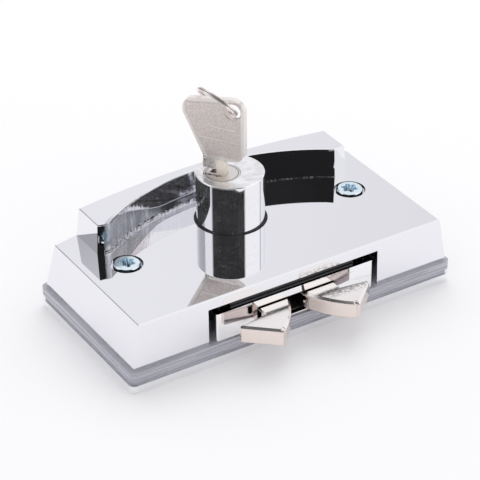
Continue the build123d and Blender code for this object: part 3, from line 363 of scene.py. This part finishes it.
# The claw case: zinc-plated sheet under an oiled lid, turned pins and drawn spring wire,
# mostly hidden behind the face plate.
case_zinc = metal("case_zinc", (0.62, 0.63, 0.66), (0.4, 0.41, 0.44), 0.3,
                  wear=(0.4, 0.6, 0.6), depth=0.03)
oiled_steel = metal("oiled_steel", (0.06, 0.06, 0.065), (0.16, 0.16, 0.17), 0.32,
                    wear=(0.4, 0.6, 0.6), depth=0.03)
turned_steel = metal("turned_steel", (0.6, 0.6, 0.62), (0.42, 0.42, 0.44), 0.22,
                     wear=(0.2, 0.8, 0.3), depth=0.02)
spring_wire = metal("spring_wire", (0.5, 0.5, 0.52), (0.34, 0.34, 0.36), 0.25,
                    wear=(0.2, 0.6, 0.3), depth=0.01)
for coat, names in (
    (case_zinc, ("case_base", "cover_posts", "case_screws", "drive_slide", "drive_cam", "barrel_yoke")),
    (oiled_steel, ("case_cover",)),
    (turned_steel, ("pivot_pins", "pivot_bushes", "slide_studs", "locking_tongue", "tailpiece")),
    (spring_wire, ("left_claw_spring", "right_claw_spring", "return_springs", "plug_clip")),
):
    for name in names:
        finish_node(name, coat["material"])

# The claws: zinc castings in warm nickel, tumbled, with a small ejector dimple near each
# nose. The right one is tarnished along its back.
CLAW_TOP, CLAW_EDGE, SLOT_IN, SLOT_OUT = 12.5, 0.6, -24.8, -25.6
DIMPLE_X, DIMPLE_Y, DIMPLE_R = 11.6, -36.1, 0.75
satin_nickel = metal("satin_nickel", (0.84, 0.74, 0.69), (0.6, 0.54, 0.5), 0.07,
                     wear=(0.6, 0.35, 0.8), depth=0.04)
claw_tree = satin_nickel["tree"]
claw_sum = sums(claw_tree)
claw_x, claw_y, claw_z = axes_of(claw_tree)
on_top = claw_sum("MULTIPLY", ease(claw_tree, claw_z, CLAW_TOP - 0.2, CLAW_TOP),
                  ease(claw_tree, claw_y, SLOT_IN, SLOT_OUT))
tarnish = claw_sum("MULTIPLY", ease(claw_tree, grain(claw_tree, 1500, detail=4.0), 0.42, 0.62), on_top,
                   ease(claw_tree, claw_x, 4.0, 9.0), ease(claw_tree, claw_y, -32.6, -29.4),
                   ease(claw_tree, claw_y, -27.0, -27.8))
# The claws' top faces in front of the slot are painted lighter, a painted highlight.
claw_tone_with_painted_highlight = blend_colours(claw_tree, on_top, satin_nickel["tone"], (0.96, 0.92, 0.9, 1))
feed(satin_nickel, "Base Color",
     blend_colours(claw_tree, claw_sum("MULTIPLY", tarnish, 0.55), claw_tone_with_painted_highlight, (0.06, 0.055, 0.045, 1)))
feed(satin_nickel, "Roughness",
     claw_sum("ADD", claw_sum("MULTIPLY", on_top, 0.08), claw_sum("MULTIPLY", tarnish, 0.2),
              satin_nickel["rough"]))
on_edge = claw_sum("MULTIPLY", ease(claw_tree, claw_z, CLAW_TOP - CLAW_EDGE - 0.1, CLAW_TOP - 0.55),
                   ease(claw_tree, claw_z, CLAW_TOP - 0.02, CLAW_TOP - 0.14))
feed(satin_nickel, "Metallic", claw_sum("SUBTRACT", 1.0, claw_sum("MULTIPLY", on_edge, 0.5)))
off_dimple = off_axis(claw_sum, claw_sum("SUBTRACT", claw_sum("ABSOLUTE", claw_x), DIMPLE_X),
                      claw_sum("SUBTRACT", claw_y, DIMPLE_Y))
relief(satin_nickel, ease(claw_tree, off_dimple, DIMPLE_R * 0.6, DIMPLE_R), 0.3)
finish_node("left_claw", satin_nickel["material"])
finish_node("right_claw", satin_nickel["material"])

# The guide bush: black moulded plastic, pressed into the casing's top. It shows only as a
# thin ring round the cylinder, which slides in it.
black_bush, bush_nodes, bush_links, bush_out = new_material("black_bush")
bush_shader = bush_nodes.new("ShaderNodeBsdfPrincipled")
bush_shader.inputs["Roughness"].default_value = 0.5
plug_in(black_bush.node_tree, bush_shader.inputs["Base Color"],
        blend_colours(black_bush.node_tree, grain(black_bush.node_tree, 3000),
                      (0.008, 0.008, 0.01, 1), (0.03, 0.03, 0.034, 1)))
bush_links.new(bush_shader.outputs["BSDF"], bush_out.inputs["Surface"])
finish_node("guide_bush", black_bush)


# The cylinder: turned zinc with the casing's plating, more handled, so it is pitted and
# smeared. Its end face is dull from the lathe, with fine rings round the middle.
def turning_rings(made, place, pitch):
    """Fine rings round an upright axis, a sine of the distance from it, between nought and one."""
    add = sums(made["tree"])
    x, y, _ = axes_of(made["tree"], place)
    wave = add("SINE", add("MULTIPLY", off_axis(add, x, y), 2 * math.pi / pitch))
    return add("MULTIPLY", add("ADD", wave, 1.0), 0.5)


BARREL_Y, BARREL_TOP = 8.45, 34.9
barrel_chrome = metal("barrel_chrome", (0.97, 0.97, 0.99), (0.84, 0.84, 0.87), 0.06,
                      wear=(0.35, 0.3, 0.4), depth=0.02)
barrel_tree = barrel_chrome["tree"]
barrel_sum = sums(barrel_tree)
_, _, barrel_z = axes_of(barrel_tree)
on_end = ease(barrel_tree, barrel_z, BARREL_TOP - 0.12, BARREL_TOP - 0.02)
end_clouds = ease(barrel_tree, grain(barrel_tree, 420, detail=3.0), 0.35, 0.7)
end_rough = barrel_sum("MULTIPLY", on_end,
                       barrel_sum("ADD", 0.12, barrel_sum("MULTIPLY", end_clouds, 0.12)))
feed(barrel_chrome, "Roughness", barrel_sum("ADD", barrel_chrome["rough"], end_rough))
feed(barrel_chrome, "Base Color",
     blend_colours(barrel_tree, barrel_sum("MULTIPLY", end_clouds, 0.5, on_end), barrel_chrome["tone"],
                   (0.66, 0.64, 0.63, 1)))
pits = ease(barrel_tree, grain(barrel_tree, 1900, detail=3.0), 0.6, 0.74)
smears = ease(barrel_tree, grain(barrel_tree, 260, (1, 1, 0.3), 4.0), 0.5, 0.72)
haze = barrel_sum("ADD", barrel_sum("MULTIPLY", pits, 0.26), barrel_sum("MULTIPLY", smears, 0.05), 0.02)
on_side = ease(barrel_tree, on_end, 0.0, 1.0, 1.0, 0.0)
feed(barrel_chrome, "Metallic", barrel_sum("SUBTRACT", 1.0, barrel_sum("MULTIPLY", haze, on_side)))
barrel_rings = turning_rings(barrel_chrome, (0, BARREL_Y, 0), 0.32)
relief(barrel_chrome, barrel_sum("MULTIPLY", barrel_rings, on_end), 0.01, 0.6)
finish_node("barrel", barrel_chrome["material"])

# The core: nickel-plated and turned, with brass wafers across its keyway. A dark ring near its
# rim is painted shade for a groove, and a dark irregular line beside the keyway is a painted shadow.
CORE_PLACE, KEYWAY_TURN = (-2.4, 8.8, BARREL_TOP), -57.0
GROOVE_R, KEYWAY_SHADOW_SIDE = 4.5, -2.0
core_nickel = metal("core_nickel", (0.78, 0.745, 0.725), (0.56, 0.54, 0.52), 0.38,
                    wear=(0.4, 0.5, 0.7), depth=0.02)
relief(core_nickel, turning_rings(core_nickel, (CORE_PLACE[0], CORE_PLACE[1], 0), 0.5), 0.02, 0.7)
core_tree = core_nickel["tree"]
core_sum = sums(core_tree)
core_u, core_w, core_up = axes_of(core_tree, CORE_PLACE, KEYWAY_TURN)
off_groove = core_sum("SUBTRACT", off_axis(core_sum, core_u, core_w), GROOVE_R)
groove = ease(core_tree, core_sum("ABSOLUTE", off_groove), 0.2, 0.08, 0.0, 0.7)
wobble = core_sum("MULTIPLY", core_sum("SUBTRACT", grain(core_tree, 600), 0.5), 2.4)
off_keyway_shadow = core_sum("ADD", core_sum("SUBTRACT", core_w, KEYWAY_SHADOW_SIDE), wobble)
keyway_shadow = core_sum("MULTIPLY", ease(core_tree, core_sum("ABSOLUTE", off_keyway_shadow), 0.34, 0.14),
                ease(core_tree, core_u, 1.2, 0.2))
# Painted shade in the groove and a painted shadow beside the keyway, both darkening the core's face.
painted_core_shade = core_sum("MULTIPLY", core_sum("MAXIMUM", groove, keyway_shadow), ease(core_tree, core_up, -0.3, -0.1))
feed(core_nickel, "Base Color",
     blend_colours(core_tree, painted_core_shade, core_nickel["tone"], (0.07, 0.065, 0.06, 1)))
finish_node("plug", core_nickel["material"])
wafer_brass = metal("wafer_brass", (0.8, 0.62, 0.3), (0.55, 0.42, 0.2), 0.25,
                    wear=(0.2, 0.5, 0.5), depth=0.02)
finish_node("wafers", wafer_brass["material"])

# The key: stamped brass under satin nickel, tumbled until its faces are finely grained. A
# raised rim runs round the bow, two raised lines cross it, its waist is polished by handling
# and the milled neck is golden.
BOW_EDGES = ((1, 0, 11.3), (0.8975, 0.4413, 2.552), (0.1496, -0.9887, 22.85), (-1, 0, 7.2), (0, 1, -4.3))
BOW_LINES = ((10.6, -6.4, 5.7), (14.4, -3.0, 4.8))
NECK_LEFT, NECK_TOP = -1.4, 4.2
key_nickel = metal("key_nickel", (0.83, 0.75, 0.715), (0.56, 0.5, 0.47), 0.42,
                   wear=(0.3, 0.15, 0.8), depth=0.03)
key_tree = key_nickel["tree"]
key_sum = sums(key_tree)
key_u, _, key_v = axes_of(key_tree, CORE_PLACE, KEYWAY_TURN)


def from_edge(run, rise, start):
    """How far inside a straight edge of the bow a point lies, by the edge's inward normal."""
    return key_sum("ADD", key_sum("MULTIPLY", key_u, run), key_sum("MULTIPLY", key_v, rise), start)


def raised_line(v, u0, u1):
    """A straight raised line across the bow between two places along its width."""
    near = ease(key_tree, key_sum("ABSOLUTE", key_sum("SUBTRACT", key_v, v)), 0.32, 0.16)
    return key_sum("MULTIPLY", near, ease(key_tree, key_u, u0 - 0.1, u0 + 0.1),
                   ease(key_tree, key_u, u1 + 0.1, u1 - 0.1))


inside = key_sum("MINIMUM", *(from_edge(*edge) for edge in BOW_EDGES))
raised = key_sum("MAXIMUM", ease(key_tree, inside, 1.45, 0.65), *(raised_line(*line) for line in BOW_LINES))
key_grain = ease(key_tree, grain(key_tree, 2500, detail=2.0), 0.36, 0.64)
relief(key_nickel, key_sum("ADD", raised, key_sum("MULTIPLY", key_grain, 0.22)), 0.2)
neck = key_sum("MULTIPLY", ease(key_tree, key_u, NECK_LEFT - 0.05, NECK_LEFT + 0.05),
               ease(key_tree, key_v, NECK_TOP + 0.1, NECK_TOP - 0.1))
waist = key_sum("MULTIPLY", ease(key_tree, key_v, 9.0, 3.5), ease(key_tree, key_u, 0.6, -3.0))
# The hollows of the key's grain are painted darker, a painted shade.
hollow_shade = ease(key_tree, key_grain, 0.0, 1.0, 0.4, 0.0)
key_tone = blend_colours(key_tree, hollow_shade, key_nickel["tone"], (0.48, 0.42, 0.4, 1))
# The raised rim and lines are painted lighter: partly worn bright by handling, partly a painted highlight.
key_tone = blend_colours(key_tree, key_sum("MULTIPLY", raised, 0.8), key_tone, (0.97, 0.92, 0.89, 1))
feed(key_nickel, "Base Color", blend_colours(key_tree, neck, key_tone, (0.98, 0.9, 0.8, 1)))
feed(key_nickel, "Metallic",
     key_sum("ADD", ease(key_tree, neck, 0.0, 1.0, 0.5, 0.05), key_sum("MULTIPLY", waist, 0.45)))
feed(key_nickel, "Roughness", key_sum("SUBTRACT", key_nickel["rough"], key_sum("MULTIPLY", waist, 0.2)))
finish_node("key", key_nickel["material"])

# The key ring: flat nickel-plated spring strip, wound twice and hung in the bow's hole. The
# gap between its two turns is painted dark, a painted shade.
RING_PLACE, RING_AXIS = (-2.8305, 10.0908, 56.398), (0.742458, 0.11693, 0.659608)
ring_steel = metal("ring_steel", (0.97, 0.91, 0.88), (0.5, 0.46, 0.44), 0.26,
                   wear=(0.3, 0.5, 0.4), depth=0.02)
ring_tree = ring_steel["tree"]
ring_sum = sums(ring_tree)
along_ring = [ring_sum("MULTIPLY", axis, share)
              for axis, share in zip(axes_of(ring_tree, RING_PLACE), RING_AXIS)]
from_middle = ring_sum("ABSOLUTE", ring_sum("ADD", *along_ring))
shade_between_turns = ring_sum("MULTIPLY", ease(ring_tree, from_middle, 0.14, 0.08), 0.9)
feed(ring_steel, "Base Color",
     blend_colours(ring_tree, shade_between_turns, ring_steel["tone"], (0.12, 0.1, 0.1, 1)))
feed(ring_steel, "Metallic", 0.7)
finish_node("key_ring", ring_steel["material"])
